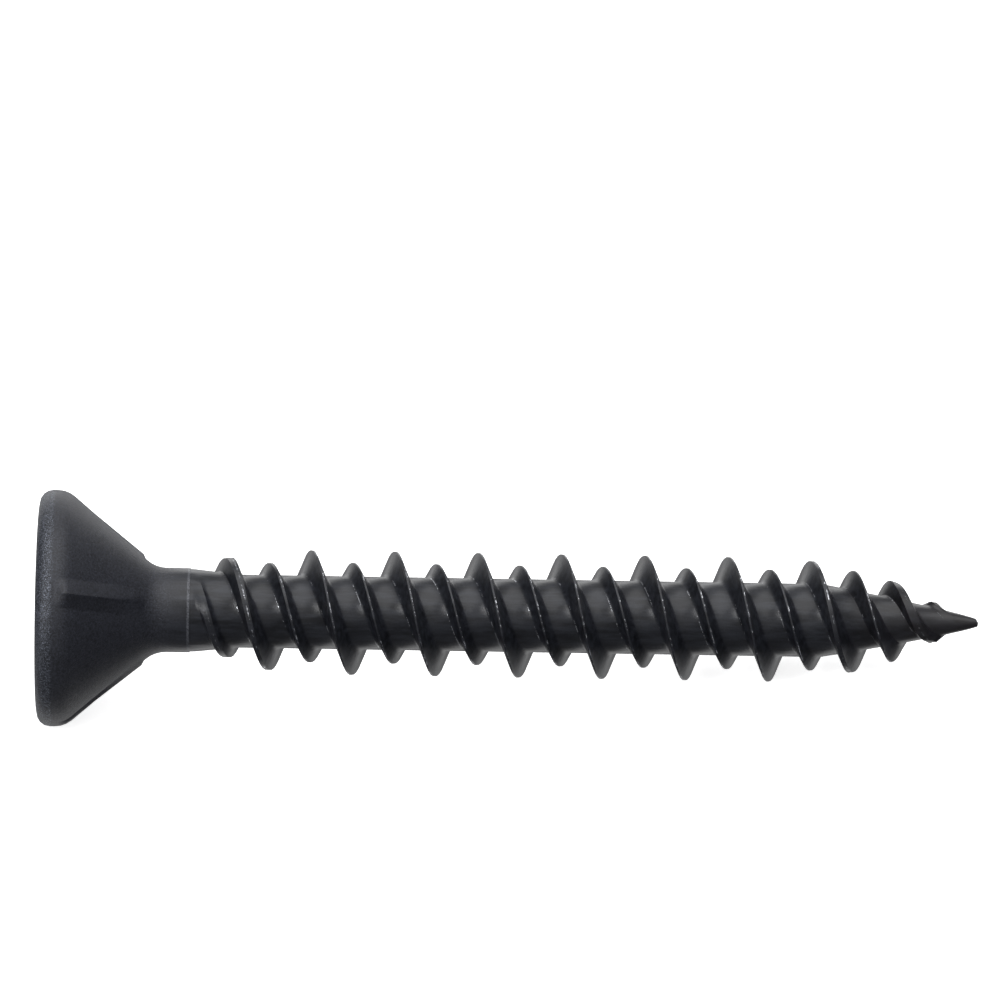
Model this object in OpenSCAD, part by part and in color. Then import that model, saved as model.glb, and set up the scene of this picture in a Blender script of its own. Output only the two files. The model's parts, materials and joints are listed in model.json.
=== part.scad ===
// Floor screw: a flat countersunk wood screw with a square socket, two threads of
// unequal height wound side by side, and a gimlet point. It is one piece of steel.
// It lies on its side as it comes to rest: on the rim of its head and one thread
// crest near the point. +X runs from the head to the point, +Z is up, and the
// origin is on the floor under the middle of the screw's length and width.

/* [Whole screw] */
// overall length, from the head face to the point (1-1/4 inch)
length = 31.75; // [25:0.05:50]
// diameter of the shank between the threads
core_d = 2.48; // [2.2:0.02:2.7]
// which way up it lies: turned about its own axis, past the start of the thread
lie_turn = 25; // [0:5:90]

/* [Head] */
// diameter of the flat head
head_d = 8.0; // [7.2:0.05:8.6]
// height of the straight rim, with its rounded corner at the face
rim_h = 0.6; // [0.56:0.02:0.9]
// radius of the rounded corner between the face and the rim
face_round = 0.44; // [0.2:0.02:0.54]
// radius of the rounded corner between the rim and the cone
shoulder_round = 0.9; // [0.4:0.05:1.1]
// full angle of the countersunk cone, in degrees
cone_angle = 81; // [75:1:90]

/* [Nibs under the head] */
// number of low ribs on the cone, which cut the seat for the head
nib_count = 4; // [4:1:6]
// turn of the ribs about the axis, from the side that lies on the floor
nib_turn = 52; // [0:1:90]
// width of a rib near the neck
nib_w = 0.7; // [0.5:0.05:1]
// height of a rib near the neck, from where it runs out toward the rim
nib_h = 0.08; // [0.05:0.01:0.15]
// distance of a rib's end from the place where the cone meets the neck
nib_gap = 0.25; // [0.2:0.05:0.8]
// length of the step at a rib's end
nib_step = 0.3; // [0.1:0.05:0.5]

/* [Square socket] */
// width across the flats of the socket at the face
drive_w = 3.4; // [3.0:0.05:3.5]
// width across the flats of the socket at its floor
drive_floor_w = 2.7; // [2.3:0.05:2.8]
// depth of the socket at its floor's edge
drive_depth = 2.15; // [1.8:0.05:2.3]
// how much deeper the middle of the floor is
drive_dish = 0.3; // [0.1:0.02:0.4]
// width of the broken edge round the socket's mouth
drive_edge = 0.07; // [0.03:0.01:0.12]
// radius of the socket's upright corners
drive_corner = 0.2; // [0.1:0.02:0.4]

/* [Neck] */
// diameter of the plain neck under the head
neck_d = 2.86; // [2.74:0.02:3]
// radius of the fillet between the cone and the neck
neck_fillet = 1.05; // [0.3:0.05:1.1]
// where the neck ends and the rolled threads begin, from the head face
thread_start = 5.12; // [5.1:0.02:6]
// small step left by the rolling dies at the end of the neck
die_step = 0.03; // [0.01:0.01:0.04]
// length over which the neck narrows to the core
neck_taper = 1.75; // [1.2:0.05:2.5]

/* [Threads] */
// distance one thread advances in a full turn
lead = 2.815; // [2.6:0.005:2.83]
// diameter over the high thread
high_d = 4.2; // [3.9:0.05:4.4]
// diameter over the low thread
low_d = 3.4; // [3.1:0.02:3.5]
// width of the high thread at its foot
high_foot = 0.6; // [0.5:0.01:0.75]
// width of the low thread at its foot
low_foot = 0.48; // [0.4:0.01:0.6]
// width of the flat on both crests
crest_flat = 0.06; // [0.04:0.01:0.14]
// reach of the soft corner at the foot of each flank
foot_round = 0.09; // [0.05:0.01:0.12]
// length over which the threads rise to their full height below the neck
fade_in = 3.9; // [2.5:0.1:5]
// where the high thread's crest passes the floor line under the neck
crest_shift = 2.2; // [1.8:0.01:2.6]

/* [Gimlet point] */
// length over which the core narrows to the point
point_len = 5.3; // [4.5:0.1:7]
// how full the curve of the point is: 1 is a straight cone
point_curve = 0.84; // [0.7:0.01:1]
// diameter of the blunt tip
tip_d = 0.22; // [0.12:0.01:0.3]
// bare length left at the tip without thread
tip_bare = 1.15; // [0.9:0.05:1.4]
// length before the bare tip over which the high thread comes down slowly
run_out = 6; // [4.5:0.1:7]
// share of the height that is left when it starts to drop to the core
run_out_share = 0.57; // [0.5:0.01:0.9]
// length over which the last of it drops to the core
last_drop = 1.8; // [1.2:0.1:2.4]
// diameter over the thread's last lump
end_d = 1.42; // [1:0.02:1.6]
// length in which the lump ends
end_len = 0.35; // [0.1:0.05:0.5]

/* [Detail] */
// flat faces round one turn of the thread
turn_faces = 36; // [30:2:44]

/* [Hidden] */
$fn = 96;
STEEL = "#26272b";
SOCKET = "#1b1c20";
head_r = head_d / 2;
core_r = core_d / 2;
neck_r = neck_d / 2;
blank_r = neck_r - die_step;
high_r = high_d / 2;
low_r = low_d / 2;
cone_half = cone_angle / 2;
// where the cone would meet the rim and the neck if no corner was rounded
cone_top = rim_h + shoulder_round * tan(cone_half / 2);
cone_end = cone_top + (head_r - neck_r) / tan(cone_half);
// the thread's mesh starts one turn inside the neck, out of sight
buried = thread_start - lead - 0.02;
first_crest = buried + high_foot / 2 + foot_round;
// beyond this place the mesh closes in on the tip
bare_from = length - tip_bare;

// Easing from 0 to 1.
function ease(t) = let (u = min(1, max(0, t))) u * u * (3 - 2 * u);

// Points of a rounded corner: centre, radius, first and last angle, and steps.
function arc(c, r, a0, a1, n) =
    [for (i = [0 : n]) let (a = a0 + (a1 - a0) * i / n) c + r * [cos(a), sin(a)]];

// Radius of the shank between the threads at distance s from the head face.
function root_r(s) =
    s < length - point_len
        ? blank_r + (core_r - blank_r) * ease((s - thread_start) / neck_taper)
        : tip_d / 2 + (core_r - tip_d / 2) * pow(max(0, length - s) / point_len, point_curve);

// Radius that a thread of full radius r has at s: it rises out of the neck and
// comes down to the point.
function rise(s, r) =
    let (t = max(0, s - thread_start))
    blank_r + (r - blank_r) * sqrt(min(1, t / fade_in)) * ease(t / high_foot);
function sink(s) =
    let (t = max(0, bare_from - s))
    max(end_d / 2 * sqrt(min(1, t / end_len)),
        root_r(s) + (high_r - core_r) * min(1, t / last_drop)
            * (run_out_share + (1 - run_out_share) * min(1, t / run_out)));
function crest_r(s, r) = max(root_r(s), min(rise(s, r), sink(s)));

// Stations across one thread, from its head side to its point side. Each has the
// thread's place in the lead, the side, the level (0 on the shank, 1 just up the
// flank, 2 on the crest), half the width of the foot and the full radius.
function rib(at, foot, r) =
    [for (p = [[-1, 0], [-1, 1], [-1, 2], [1, 2], [1, 1], [1, 0]])
        [at, p[0], p[1], foot / 2, r]];

// How steeply the screw lies: it touches the floor with the corner under its rim
// and with the crest of the high thread that lies lowest.
low_line = crest_shift + lead * lie_turn / 360;
crests = [for (s = [low_line + lead : lead : bare_from]) s];
lie_slope = min([for (s = crests)
    (head_r - crest_r(s, high_r)) / (s + crest_flat / 2 - rim_h)]);
lie_tilt = atan(lie_slope);

// Outline of the head and neck, turned about the axis. X is the radius and Y is
// the distance from the face.
function head_outline() = concat(
    [[0, 0]],
    arc([head_r - face_round, face_round], face_round, -90, 0, 4),
    arc([head_r - shoulder_round, rim_h], shoulder_round, 0, cone_half, 3),
    arc([neck_r + neck_fillet, cone_end + neck_fillet * tan(cone_half / 2)],
        neck_fillet, 180 + cone_half, 180, 4),
    [[neck_r, thread_start], [0, thread_start]]);

module head_and_neck() {
    color(STEEL)
        rotate_extrude()
            polygon(head_outline());
}

// A rib on the cone: a low roof over the sloping line of the cone, flush with it at
// the shoulder and highest near the neck, where it ends in a step.
module nib() {
    t = [-sin(cone_half), cos(cone_half)];
    n = [cos(cone_half), sin(cone_half)];
    from = [head_r, cone_top] + shoulder_round * tan(cone_half / 2) * t;
    end = [neck_r, cone_end] - nib_gap / cos(cone_half) * t;
    peak = end - nib_step * t;
    sunk = 0.05;
    outline = [from - sunk / 4 * n, peak + nib_h * n, end - sunk * n, peak - 4 * sunk * n];
    foot = peak - sunk * n;
    points = concat([for (p = outline) [p[0], 0, p[1]]],
        [for (side = [-1, 1]) [foot[0], side * nib_w / 2, foot[1]]]);
    color(STEEL)
        polyhedron(points, [[1, 0, 4], [2, 1, 4], [3, 2, 4], [0, 3, 4],
            [0, 1, 5], [1, 2, 5], [2, 3, 5], [3, 0, 5]]);
}

// One ring of the socket: a square of half width w with rounded corners, at z.
function square_ring(w, z) =
    [for (q = [0 : 3]) each
        [for (p = arc([w - drive_corner, w - drive_corner], drive_corner, 0, 90, 3))
            [p[0] * cos(90 * q) - p[1] * sin(90 * q),
             p[0] * sin(90 * q) + p[1] * cos(90 * q), z]]];

// The square socket narrows from its mouth to a dished floor.
module socket() {
    w0 = drive_w / 2;
    w1 = drive_floor_w / 2;
    over = 0.2;
    n = 16;
    rings = [square_ring(w0 + over, -over), square_ring(w0 - drive_edge, drive_edge),
        square_ring(w1, drive_depth)];
    points = concat(rings[0], rings[1], rings[2], [[0, 0, drive_depth + drive_dish]]);
    sides = [for (k = [0, 1], i = [0 : n - 1])
        let (j = (i + 1) % n) [k * n + j, k * n + i, (k + 1) * n + i, (k + 1) * n + j]];
    mouth = [[for (i = [0 : n - 1]) i]];
    floor_faces = [for (i = [0 : n - 1]) [2 * n + (i + 1) % n, 2 * n + i, 3 * n]];
    color(SOCKET)
        polyhedron(points, concat(sides, mouth, floor_faces));
}

// The threaded shank in one skin. Each station of the profile runs on as one helical
// line, so every crest and every foot is a clean line from the neck to the point.
module threaded_shank() {
    profile = concat(rib(0, high_foot, high_r), rib(lead / 2, low_foot, low_r));
    n = len(profile);
    m = turn_faces;
    turns = ceil((bare_from + 0.5 * tip_bare - buried) / lead);
    rows = turns * n;
    last = turns * m;
    // Point j on line p. The flanks keep their slope, so where the thread is lower
    // than its full height its crest is wider. Past the last thread the lines are
    // drawn together on the tip.
    function vertex(p, j) =
        let (st = profile[p], r = st[4], h = st[3],
            c = first_crest + st[0] + lead * j / m,
            share = (crest_r(c, r) - root_r(c)) / (r - core_r),
            f = h - (h - crest_flat / 2) * min(1, max(0.55, share)),
            q = foot_round / (r - core_r),
            out = [h + foot_round, h - q * (h - f), f][st[2]],
            s0 = c + st[1] * out,
            s = s0 <= bare_from ? s0
                : length - tip_bare * exp((bare_from - s0) / tip_bare),
            base = root_r(s),
            w = base + max(0, crest_r((c + s) / 2, r) - base) * [0, q, 1][st[2]],
            a = 360 * j / m)
        [w * cos(a), w * sin(a), s];
    // row k counts the stations turn after turn, and i counts the faces round it
    function at(k, i) = (k % n) * (last + 1) + floor(k / n) * m + i;
    lines = [for (p = [0 : n - 1], j = [0 : last]) vertex(p, j)];
    middle = len(lines);
    points = concat(lines, [[0, 0, buried + lead / 2], [0, 0, length]]);
    skin = [for (k = [0 : rows - 2], i = [0 : m - 1]) each
        [[at(k, i), at(k + 1, i), at(k + 1, i + 1)],
         [at(k, i), at(k + 1, i + 1), at(k, i + 1)]]];
    start = concat(
        [for (i = [0 : m - 1]) [at(0, i), at(0, i + 1), middle]],
        [for (k = [0 : n - 1]) [at(k + 1, 0), at(k, 0), middle]]);
    tip = concat(
        [for (i = [0 : m - 1]) [at(rows - 1, i + 1), at(rows - 1, i), middle + 1]],
        [for (k = [rows - 1 : rows + n - 2]) [at(k, 0), at(k + 1, 0), middle + 1]]);
    color(STEEL)
        polyhedron(points, concat(skin, start, tip));
}

// The whole screw, lying on the floor.
module screw() {
    lift = head_r * cos(lie_tilt) + rim_h * sin(lie_tilt);
    mid = (length * cos(lie_tilt) - (head_r - face_round) * sin(lie_tilt)) / 2;
    translate([-mid, 0, lift])
        rotate([0, 90 + lie_tilt, 0])
            difference() {
                union() {
                    head_and_neck();
                    for (i = [0 : nib_count - 1])
                        rotate([0, 0, nib_turn + 360 * i / nib_count])
                            nib();
                    rotate([0, 0, -360 * (low_line - first_crest) / lead])
                        threaded_shank();
                }
                socket();
            }
}

screw();
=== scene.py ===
"""A floor screw lying on a pale floor, seen from the side.

The screw is one piece of carbon steel with a black phosphate film. Its shape is the
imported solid, shaded smooth here, and this script gives it its finish, light and camera.
"""

import json
import math
from collections import namedtuple

import bpy
from mathutils import Euler, Matrix, Vector

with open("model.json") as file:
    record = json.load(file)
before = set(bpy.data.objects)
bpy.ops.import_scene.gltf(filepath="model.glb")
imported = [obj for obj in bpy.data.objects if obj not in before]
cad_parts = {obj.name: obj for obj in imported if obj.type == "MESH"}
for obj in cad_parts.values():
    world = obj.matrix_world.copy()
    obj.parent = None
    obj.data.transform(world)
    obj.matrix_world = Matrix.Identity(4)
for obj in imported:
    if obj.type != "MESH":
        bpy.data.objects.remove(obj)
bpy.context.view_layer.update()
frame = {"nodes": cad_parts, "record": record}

MM = 0.001

# The screw's own axis, as it lies: from the middle of the head face to the point.
SOCKET = next(m for m in frame["record"]["mounts"] if m["name"] == "square_socket")
HEAD = Vector(SOCKET["pos_m"])
AXIS = -Vector(SOCKET["axis"]).normalized()
DIP = math.asin(-AXIS.z)

# Sizes of the screw that the finish follows, in mm. These are places along the axis,
# from the head face.
FACE_DEPTH = 0.2
RIM_END = 0.56
CONE_END = 3.94
NECK_END = 5.12
POINT_START = 26.25
THREAD_END = 30.6
LENGTH = 31.75
# one turn of the thread, and the place where its high crest is on the side that lies on
# the floor
LEAD = 2.815
CREST_AT_FLOOR = 2.3955
# the flat on a crest, and how far toward the head from it its flank meets the core
CREST_FLAT = 0.06
FOOT = 0.31
# the radius of the flat face, and half the width of the socket's mouth
FACE_RADIUS = 3.68
SOCKET_EDGE = 1.72
# where the first nib is, as a part of a turn from the side that lies on the floor, and
# how many nibs there are
NIB_TURN = 52 / 360
NIBS = 4
# the fold of the cone at each nib: half its width, the slope of its sides, and the
# places along the axis where it starts, is full, starts to end and has ended
NIB_HALF = 0.5
NIB_SLOPE = 0.5
NIB_RUN = (0.65, 1.1, 1.3, 3.7)

# Grain of the film, in blotches per mm. A real crystal is about 0.01 mm across, and is
# drawn larger here, so that it shows.
CRYSTALS_PER_MM = 16.0
FINE_PER_MM = 34.0
CLOUDS_PER_MM = 1.3
PATCHES_PER_MM = 2.0
MARKS_PER_MM = 4.5
# the scale of the rolling marks along the wire, against 1 across it
MARK_SQUEEZE = 0.16
# what a height of 1 stands for in the relief of the grain, in metres
GRAIN_DEPTH = 0.02 * MM

# How far the bright lines reach to each side, in mm: on the crests (rubbed film and painted
# highlight), at their feet (painted highlight), on the edges of the face and the socket
# (rubbed film and painted highlight), and at the step that the dies leave (painted highlight).
CREST_LINE = 0.022
FOOT_HIGHLIGHT = 0.016
EDGE_LINE = 0.04
STEP_HIGHLIGHT = 0.06


def linear(hex_colour):
    """An sRGB hex colour as the linear colour that a shader takes."""
    parts = [int(hex_colour[i : i + 2], 16) / 255 for i in (1, 3, 5)]
    return [p / 12.92 if p <= 0.04045 else ((p + 0.055) / 1.055) ** 2.4 for p in parts] + [1.0]


def add(tree, kind, links=None, **settings):
    """Adds a node. A setting that the node has no property for fills the socket of that
    name, and links feeds sockets by name."""
    node = tree.nodes.new(kind)
    for name, value in settings.items():
        if hasattr(node, name):
            setattr(node, name, value)
        else:
            node.inputs[name.replace("_", " ")].default_value = value
    for name, source in (links or {}).items():
        tree.links.new(source, node.inputs[name])
    return node


def maths(tree, operation, *values):
    """The result of a Math node on up to three values, each a number or an output."""
    node = add(tree, "ShaderNodeMath", operation=operation)
    for slot, value in enumerate(values):
        if isinstance(value, (int, float)):
            node.inputs[slot].default_value = value
        else:
            tree.links.new(value, node.inputs[slot])
    return node.outputs[0]


def times(tree, first, *others):
    """The product of two or more values, each a number or an output."""
    product = first
    for value in others:
        product = maths(tree, "MULTIPLY", product, value)
    return product


def larger(tree, first, second):
    """The larger of two values."""
    return maths(tree, "MAXIMUM", first, second)


def raised(tree, start, value, slope):
    """start + value * slope, each a number or an output."""
    return maths(tree, "MULTIPLY_ADD", value, slope, start)


def fade(tree, value, start, end, low=0.0, high=1.0):
    """Runs smoothly from low to high as value goes from start to end."""
    node = add(
        tree,
        "ShaderNodeMapRange",
        {"Value": value},
        interpolation_type="SMOOTHSTEP",
        From_Min=start,
        From_Max=end,
        To_Min=low,
        To_Max=high,
    )
    return node.outputs["Result"]


def line_at(tree, value, place, reach):
    """1 where value is at place, down to 0 where it is further from it than reach."""
    away = maths(tree, "ABSOLUTE", maths(tree, "SUBTRACT", value, place))
    return fade(tree, away, reach, reach * 0.4)


def noise(tree, vector, per_mm, detail, roughness):
    """Noise whose blotches are 1 / per_mm millimetres across, on coordinates in mm."""
    node = add(
        tree,
        "ShaderNodeTexNoise",
        {"Vector": vector},
        Scale=per_mm,
        Detail=detail,
        Roughness=roughness,
    )
    return node.outputs["Fac"]


def blend_colour(tree, share, first, second):
    """Mixes two colours, each a linear colour or an output."""
    node = add(tree, "ShaderNodeMix", data_type="RGBA")
    sockets = [s for s in node.inputs if s.type == "RGBA"]
    for socket, value in zip(sockets, (first, second)):
        if isinstance(value, list):
            socket.default_value = value
        else:
            tree.links.new(value, socket)
    tree.links.new(share, node.inputs["Factor"])
    return next(s for s in node.outputs if s.type == "RGBA")


# Where a point of the surface is, on the screw's own axis and in mm: its coordinates
# there, its distance from the axis and from the head face, its place across the
# threads (0 at the high crest, 0.5 at the low one, 1 at the next high one), how far it
# lies beside the nearest nib, and the half width of the square round the axis that it
# lies on.
Place = namedtuple("Place", "own radius z phase beside square")

# What the finish depends on: how much a point belongs to the head, the face, the rim
# and the drawn shank, each from 0 to 1, and the noises that the finish shares.
Grain = namedtuple("Grain", "head face rim drawn crystals fine clouds marks")


def screw_place(tree):
    """The Place of a point, as outputs."""
    at = add(tree, "ShaderNodeTexCoord").outputs["Object"]
    turn = add(
        tree,
        "ShaderNodeMapping",
        {"Vector": at},
        vector_type="TEXTURE",
        Location=HEAD,
        Rotation=Euler((0, math.pi / 2 + DIP, 0)),
        Scale=(MM, MM, MM),
    )
    own = turn.outputs["Vector"]
    split = add(tree, "ShaderNodeSeparateXYZ", {"Vector": own})
    x, y, z = (split.outputs[k] for k in range(3))
    radius = maths(tree, "SQRT", raised(tree, times(tree, y, y), x, x))
    angle = maths(tree, "DIVIDE", maths(tree, "ARCTAN2", y, x), 2 * math.pi)

    turns = maths(tree, "DIVIDE", maths(tree, "SUBTRACT", z, CREST_AT_FLOOR), LEAD)
    phase = maths(tree, "FRACT", maths(tree, "SUBTRACT", turns, angle))

    past_nib = maths(tree, "SUBTRACT", angle, NIB_TURN)
    past_nib = maths(tree, "WRAP", past_nib, 0.5 / NIBS, -0.5 / NIBS)
    beside = times(tree, maths(tree, "SINE", times(tree, past_nib, 2 * math.pi)), radius)

    square = larger(tree, maths(tree, "ABSOLUTE", x), maths(tree, "ABSOLUTE", y))
    return Place(own, radius, z, phase, maths(tree, "ABSOLUTE", beside), square)


def steel_grain(tree, place):
    """The Grain of a point, as outputs. The headed blank keeps more grain than the
    rolled shank, which has faint marks along the wire instead."""
    head = fade(tree, place.z, NECK_END + 0.1, CONE_END - 0.2)
    along = add(tree, "ShaderNodeMapping", {"Vector": place.own}, Scale=(1.0, 1.0, MARK_SQUEEZE))
    return Grain(
        head=head,
        face=fade(tree, place.z, FACE_DEPTH, FACE_DEPTH * 0.1),
        rim=fade(tree, place.z, RIM_END + 0.08, RIM_END - 0.08),
        drawn=maths(tree, "SUBTRACT", 1.0, head),
        crystals=noise(tree, place.own, CRYSTALS_PER_MM, 3.0, 0.7),
        fine=noise(tree, place.own, FINE_PER_MM, 2.0, 0.6),
        clouds=noise(tree, place.own, CLOUDS_PER_MM, 3.0, 0.55),
        marks=noise(tree, along.outputs["Vector"], MARKS_PER_MM, 4.0, 0.65),
    )


def film_colour(tree, place, grain):
    """The black film: cloudy all over, streaky on the shank and grainy on the head. It is
    coarsest on the face and the rim, where bright and dark crystals mix."""
    cloudy = fade(tree, grain.clouds, 0.3, 0.7)
    dark = blend_colour(tree, cloudy, linear("#111216"), linear("#1a1b20"))
    streaks = fade(tree, grain.marks, 0.35, 0.7)
    streaky = blend_colour(tree, streaks, dark, linear("#282a30"))
    grainy = blend_colour(tree, fade(tree, grain.crystals, 0.3, 0.7), dark, linear("#31333b"))
    film = blend_colour(tree, grain.head, streaky, grainy)

    coarse = fade(tree, noise(tree, place.own, CRYSTALS_PER_MM, 3.0, 0.75), 0.42, 0.64)
    mixed = blend_colour(tree, coarse, linear("#08090b"), linear("#555a64"))
    flat = times(tree, grain.face, fade(tree, place.radius, FACE_RADIUS + 0.06, FACE_RADIUS))
    return blend_colour(tree, larger(tree, flat, times(tree, grain.rim, 0.4)), film, mixed)


def broken_crystals(tree, grain):
    """How much a point glints because a crystal has broken there, most of all on the
    face and the rim."""
    limit = fade(tree, larger(tree, grain.face, grain.rim), 0.0, 1.0, 0.7, 0.59)
    spark = fade(tree, maths(tree, "SUBTRACT", grain.fine, limit), 0.0, 0.05)
    return times(tree, spark, raised(tree, 0.1, grain.head, 0.65))


def wear_and_painted_highlights(tree, place, grain):
    """How much the film is rubbed off at a point, or a highlight is painted there: in short
    broken lines along the tip side of each crest, where both are, along the foot of its head
    side, where only a highlight is painted, and a little along the edges of the face and of
    the socket, where both are."""
    past_crest = times(tree, maths(tree, "WRAP", place.phase, 0.25, -0.25), LEAD)
    # the line on the crest is partly rubbed film and partly a painted highlight
    crest = line_at(tree, past_crest, CREST_FLAT / 3, CREST_LINE)
    # painted highlight: a thin bright line along the foot of the head-side flank, where the root
    # is rounded
    foot = line_at(tree, past_crest, -FOOT, FOOT_HIGHLIGHT)
    threaded = fade(tree, place.z, NECK_END + 0.4, NECK_END + 1.4)
    threaded = times(tree, threaded, fade(tree, place.z, THREAD_END, THREAD_END - 0.3))
    patchy = fade(tree, noise(tree, place.own, PATCHES_PER_MM, 5.0, 0.8), 0.52, 0.6)
    dots = fade(tree, grain.fine, 0.4, 0.56)
    wear_and_highlight = times(tree, larger(tree, crest, foot), threaded, patchy, dots)

    # the lines on the edges of the face and the socket are partly rubbed film and partly painted
    # highlight
    face_edge = line_at(tree, place.radius, FACE_RADIUS, EDGE_LINE)
    edges = larger(tree, face_edge, line_at(tree, place.square, SOCKET_EDGE, EDGE_LINE))
    broken = times(
        tree,
        fade(tree, grain.clouds, 0.46, 0.6),
        fade(tree, grain.crystals, 0.4, 0.6),
    )
    return larger(tree, wear_and_highlight, times(tree, edges, grain.face, broken, 0.4))


def nib_folds(tree, place):
    """A height in metres: each nib runs on as a faint fold of the cone, up to the rim."""
    fold = larger(tree, maths(tree, "SUBTRACT", NIB_HALF, place.beside), 0.0)
    reach = times(
        tree,
        fade(tree, place.z, NIB_RUN[3], NIB_RUN[2]),
        fade(tree, place.z, NIB_RUN[0], NIB_RUN[1]),
    )
    return times(tree, fold, NIB_SLOPE * MM, reach)


def black_phosphate_steel():
    """Carbon steel with a black manganese phosphate film, oiled: fine dark crystals
    that leave the surface matt, blue-black and grainy, with small bright specks where
    a crystal has broken, and bare steel glinting on the rubbed crests of the thread, partly
    a painted highlight. Painted highlights also lie along the feet of the crests and on the
    step that the dies leave, and partly on the edges of the face and the socket."""
    mat = bpy.data.materials.new("black_phosphate_steel")
    mat.use_nodes = True
    tree = mat.node_tree
    tree.nodes.clear()
    place = screw_place(tree)
    grain = steel_grain(tree, place)
    speck = broken_crystals(tree, grain)
    wear_and_highlight = wear_and_painted_highlights(tree, place, grain)
    bright = larger(tree, wear_and_highlight, speck)

    colour = film_colour(tree, place, grain)
    colour = blend_colour(tree, speck, colour, linear("#8f95a3"))
    # bare steel where the film is rubbed off the crests and edges, partly a painted highlight,
    # and a painted highlight along the feet of the crests
    colour = blend_colour(tree, wear_and_highlight, colour, linear("#d0d2d8"))
    # painted highlight: a dull bright line painted along the step left by the dies
    painted_step_highlight = line_at(tree, place.z, NECK_END - 0.04, STEP_HIGHLIGHT)
    painted_step_highlight = times(tree, painted_step_highlight, fade(tree, grain.crystals, 0.3, 0.6), 0.3)
    colour = blend_colour(tree, painted_step_highlight, colour, linear("#84868e"))
    # the point is a little browner, where the film is thin
    brown = times(tree, fade(tree, place.z, POINT_START, LENGTH), 0.5)
    colour = blend_colour(tree, brown, colour, linear("#221d1c"))

    # the film is duller on the head, and bright places are smoother than it
    rough = raised(tree, 0.25, grain.head, 0.16)
    rough = raised(tree, rough, grain.crystals, 0.1)
    rough = raised(tree, rough, times(tree, grain.marks, grain.drawn), 0.06)
    rough = maths(tree, "SUBTRACT", rough, times(tree, bright, 0.16))

    # the grain's own height, as a part of GRAIN_DEPTH
    height = times(tree, grain.crystals, raised(tree, 0.3, grain.head, 1.2))
    height = raised(tree, height, grain.fine, times(tree, grain.head, 0.8))
    height = raised(tree, height, grain.marks, times(tree, grain.drawn, 0.6))
    folds = {"Height": nib_folds(tree, place)}
    folded = add(tree, "ShaderNodeBump", folds, Strength=1.0, Distance=1.0)
    relief = {"Height": height, "Normal": folded.outputs["Normal"]}
    bump = add(tree, "ShaderNodeBump", relief, Strength=0.5, Distance=GRAIN_DEPTH)

    shader = add(
        tree,
        "ShaderNodeBsdfPrincipled",
        {
            "Base Color": colour,
            "Metallic": raised(tree, 0.1, bright, 0.7),
            "Roughness": rough,
            "Normal": bump.outputs["Normal"],
        },
        Specular_IOR_Level=0.4,
    )
    add(tree, "ShaderNodeOutputMaterial", {"Surface": shader.outputs["BSDF"]})
    return mat


def smooth_skin():
    """A Geometry Nodes tree that joins the solid's loose triangles and shades them as
    smooth metal, leaving an edge sharp where two faces meet at more than a set angle."""
    tree = bpy.data.node_groups.new("smooth_skin", "GeometryNodeTree")
    sockets = tree.interface
    sockets.new_socket("Geometry", in_out="INPUT", socket_type="NodeSocketGeometry")
    reach = sockets.new_socket("Join Distance", in_out="INPUT", socket_type="NodeSocketFloat")
    reach.default_value = 0.0002 * MM
    limit = sockets.new_socket("Sharp Angle", in_out="INPUT", socket_type="NodeSocketFloat")
    limit.default_value = math.radians(42)
    sockets.new_socket("Geometry", in_out="OUTPUT", socket_type="NodeSocketGeometry")

    given = add(tree, "NodeGroupInput").outputs
    joined = add(
        tree,
        "GeometryNodeMergeByDistance",
        {"Geometry": given["Geometry"], "Distance": given["Join Distance"]},
    )
    angle = add(tree, "GeometryNodeInputMeshEdgeAngle").outputs["Unsigned Angle"]
    sharp = maths(tree, "GREATER_THAN", angle, given["Sharp Angle"])
    faces = add(
        tree,
        "GeometryNodeSetShadeSmooth",
        {"Geometry": joined.outputs["Geometry"]},
        domain="FACE",
        Shade_Smooth=True,
    )
    edges = add(
        tree,
        "GeometryNodeSetShadeSmooth",
        {"Geometry": faces.outputs["Geometry"], "Selection": sharp},
        domain="EDGE",
        Shade_Smooth=False,
    )
    add(tree, "NodeGroupOutput", {"Geometry": edges.outputs["Geometry"]})
    return tree


screw = frame["nodes"]["screw"]
steel = black_phosphate_steel()
for slot in screw.material_slots:
    slot.material = steel
skin = screw.modifiers.new("smooth_skin", "NODES")
skin.node_group = smooth_skin()


def pale_floor():
    """White paper under the screw, lit from behind as on a light table, so that only a
    faint shadow is left on it. It lights nothing and isn't mirrored in the steel."""
    mat = bpy.data.materials.new("white_paper")
    mat.use_nodes = True
    shader = mat.node_tree.nodes["Principled BSDF"]
    shader.inputs["Base Color"].default_value = linear("#efefef")
    shader.inputs["Roughness"].default_value = 0.9
    shader.inputs["Emission Color"].default_value = linear("#ffffff")
    shader.inputs["Emission Strength"].default_value = 0.8
    half = 0.6
    corners = [(-half, -half, 0), (half, -half, 0), (half, half, 0), (-half, half, 0)]
    mesh = bpy.data.meshes.new("floor")
    mesh.from_pydata(corners, [], [(0, 1, 2, 3)])
    mesh.materials.append(mat)
    floor = bpy.data.objects.new("floor", mesh)
    floor.visible_diffuse = False
    floor.visible_glossy = False
    bpy.context.scene.collection.objects.link(floor)


pale_floor()


def softbox(name, place, aim, side, power):
    """A soft square white light at place that points at aim, in metres and watts."""
    data = bpy.data.lights.new(name, "AREA")
    data.shape = "SQUARE"
    data.size = side
    data.energy = power
    lamp = bpy.data.objects.new(name, data)
    lamp.location = place
    lamp.rotation_euler = (Vector(aim) - Vector(place)).to_track_quat("-Z", "Y").to_euler()
    bpy.context.scene.collection.objects.link(lamp)


# How far a direction points away from the camera where the white sweep starts, is full,
# starts to end, and has ended.
SWEEP = (0.45, 0.75, 0.85, 0.98)
# how far above the camera the middle of the soft front panel is
PANEL_UP = math.radians(45)
ROOM_STRENGTH = 2.0


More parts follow.
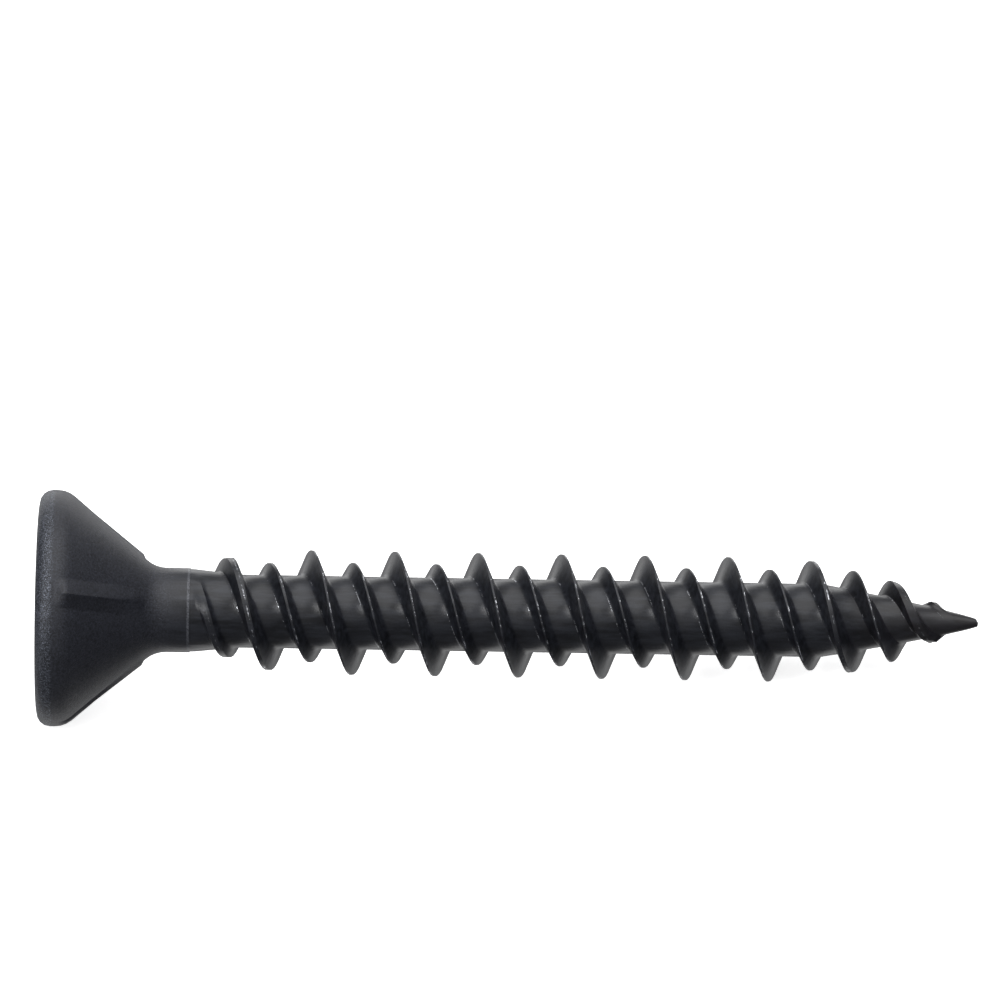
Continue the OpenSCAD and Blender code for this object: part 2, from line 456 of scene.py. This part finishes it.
def studio(axis, toward, above):
    """A dark room with a white sweep behind the screw, which shows in the steel as a
    pale band inside each edge, brighter above than below, a soft panel over the camera,
    and a grey wall low in front of the head. The sweep and the panel fade out where the
    screw's own axis points, so the flanks of the thread and the cone stay dark in the
    middle. The camera itself sees a plain pale wall."""
    world = bpy.data.worlds.new("studio")
    world.use_nodes = True
    tree = world.node_tree
    tree.nodes.clear()
    direction = add(tree, "ShaderNodeTexCoord").outputs["Generated"]

    def part_along(way):
        part = add(tree, "ShaderNodeVectorMath", operation="DOT_PRODUCT")
        tree.links.new(direction, part.inputs[0])
        part.inputs[1].default_value = way
        return part.outputs["Value"]

    behind = part_along(-toward)
    upward = part_along(above)
    onward = part_along(axis)
    endways = maths(tree, "ABSOLUTE", onward)
    sweep = times(
        tree,
        fade(tree, behind, SWEEP[0], SWEEP[1]),
        fade(tree, behind, SWEEP[3], SWEEP[2]),
        fade(tree, upward, -0.5, 0.3, 0.6, 1.0),
        fade(tree, endways, 0.75, 0.3),
    )
    over_camera = part_along(toward * math.cos(PANEL_UP) + above * math.sin(PANEL_UP))
    panel = times(
        tree,
        fade(tree, over_camera, 0.1, 0.75, 0.08, 0.42),
        fade(tree, endways, 0.98, 0.5),
    )
    head_wall = times(
        tree,
        fade(tree, onward, -0.6, -0.97, 0.0, 0.4),
        fade(tree, upward, 0.1, -0.4),
    )
    level = larger(tree, larger(tree, sweep, panel), head_wall)
    colour = blend_colour(tree, level, linear("#26282d"), linear("#ffffff"))
    seen = add(tree, "ShaderNodeLightPath").outputs["Is Camera Ray"]
    colour = blend_colour(tree, seen, colour, linear("#babbbd"))
    wall = add(tree, "ShaderNodeBackground", {"Color": colour}, Strength=ROOM_STRENGTH)
    add(tree, "ShaderNodeOutputWorld", {"Surface": wall.outputs["Background"]})
    bpy.context.scene.world = world


# The photograph's view: level with the screw's axis and square to it, with the axis
# running down to the right by SLOPE, and the screw low in the frame. Here the camera
# stands 30 degrees above the floor, because the screw lies on it.
RAISE = math.radians(30)
SLOPE = math.radians(0.93)
DISTANCE = 0.4
SENSOR_MM = 36
# the width of the picture in pixels, and what one of them covers at the screw
PICTURE = 1000
PX = 0.03378 * MM
# how far the middle of the head face is to the left of the picture's middle, and how
# far below it, in pixels
HEAD_LEFT, HEAD_LOW = 461.4, 107.8

# toward points from the screw to the camera, and above is up in the photograph if its
# slope is left out
down = Vector((-math.sin(DIP), 0, -math.cos(DIP)))
toward = -math.sin(RAISE) * down - math.cos(RAISE) * Vector((0, 1, 0))
above = toward.cross(AXIS)
right = AXIS * math.cos(SLOPE) + above * math.sin(SLOPE)
up = above * math.cos(SLOPE) - AXIS * math.sin(SLOPE)

# a large ceiling, and two small lamps for the head, from its front left
MIDDLE = Vector((0, 0, 3 * MM))
softbox("ceiling", (0.05, -0.02, 0.35), MIDDLE, 0.45, 1.1)
softbox("left_front", (-0.20, -0.18, 0.10), MIDDLE, 0.06, 0.12)
softbox("by_camera", HEAD + toward * 0.2 - AXIS * 0.12 + above * 0.02, HEAD, 0.05, 0.09)
studio(AXIS, toward, above)
bpy.context.scene.view_settings.view_transform = "Standard"

camera_data = bpy.data.cameras.new("camera")
camera_data.sensor_width = SENSOR_MM
camera_data.lens = SENSOR_MM * DISTANCE / (PICTURE * PX)
camera_data.clip_start = 0.01
camera_data.clip_end = 10
camera = bpy.data.objects.new("camera", camera_data)
bpy.context.scene.collection.objects.link(camera)
target = HEAD + (right * HEAD_LEFT + up * HEAD_LOW) * PX
turned = Matrix((right, up, toward)).transposed().to_4x4()
camera.matrix_world = Matrix.Translation(target + toward * DISTANCE) @ turned
bpy.context.scene.camera = camera
